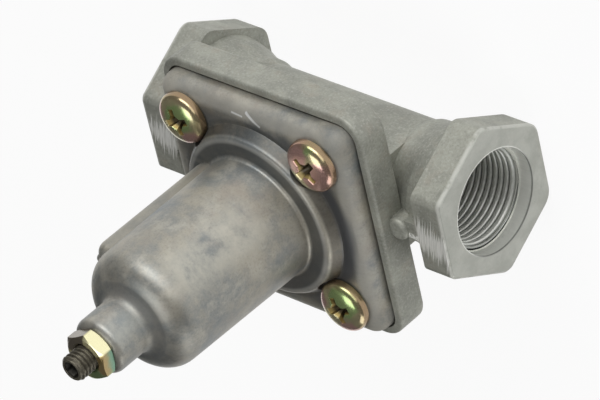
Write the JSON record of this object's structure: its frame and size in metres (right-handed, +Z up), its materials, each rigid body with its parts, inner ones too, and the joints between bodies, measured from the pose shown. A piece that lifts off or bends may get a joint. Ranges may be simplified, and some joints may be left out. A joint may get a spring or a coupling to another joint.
{
  "type": "bypass valve",
  "caption": "In-line diaphragm bypass valve: two threaded hexagon ports, a square flange and a screwed spring bonnet with an adjusting screw and lock nut.",
  "frame": {"origin": "on the resting plane under the crossing of the port axis and the bonnet axis", "axes": "+X along the ports, out of the outlet; +Z up the bonnet axis, towards the adjusting screw; Y across the ports"},
  "size_m": [0.084, 0.056, 0.0999],
  "materials": {
    "cast_body": "matte die-cast",
    "cast_bonnet": "satin die-cast, mottled",
    "yellow_zinc": "yellow passivated zinc",
    "black_steel": "blackened",
    "spring_steel": "plain drawn wire",
    "turned_aluminium": "turned",
    "diaphragm_rubber": "matt",
    "brass": "turned",
    "guide_plastic": "natural"
  },
  "bodies": {
    "housing": {"valve_body": "cast_body", "bonnet": "cast_bonnet", "cover_screws": "yellow_zinc", "diaphragm": "diaphragm_rubber", "setting_spring": "spring_steel", "lock_nut": "yellow_zinc", "check_valve_spring": "spring_steel", "check_valve_guide": "guide_plastic", "retaining_ring": "spring_steel"},
    "pressure_plate": {"pressure_plate": "turned_aluminium"},
    "spring_seat": {"upper_spring_seat": "turned_aluminium"},
    "adjusting_screw": {"adjusting_screw": "black_steel"},
    "check_valve": {"check_valve_disc": "brass", "check_valve_seal": "diaphragm_rubber"}
  },
  "joints": [
    {"name": "plate_lift", "type": "slide", "parent": "housing", "child": "pressure_plate", "axis": [0, 0, 1], "range_m": [0, 0.002], "stiffness_N_per_m": 8000, "deforming": ["diaphragm", "setting_spring"]},
    {"name": "seat_travel", "type": "slide", "parent": "housing", "child": "spring_seat", "axis": [0, 0, 1], "range_m": [-0.004, 0.003], "deforming": ["setting_spring"]},
    {"name": "screw_turn", "type": "hinge", "parent": "spring_seat", "child": "adjusting_screw", "pos_m": [0, 0, 0.08], "axis": [0, 0, 1], "range_deg": [-1440, 1080]},
    {"name": "check_lift", "type": "slide", "parent": "housing", "child": "check_valve", "axis": [-1, 0, 0], "range_m": [0, 0.0025], "stiffness_N_per_m": 1900, "deforming": ["check_valve_spring"]}
  ],
  "couplings": [
    {"joint": "screw_turn", "follows": "seat_travel", "rad_per_m": 6283.2}
  ]
}
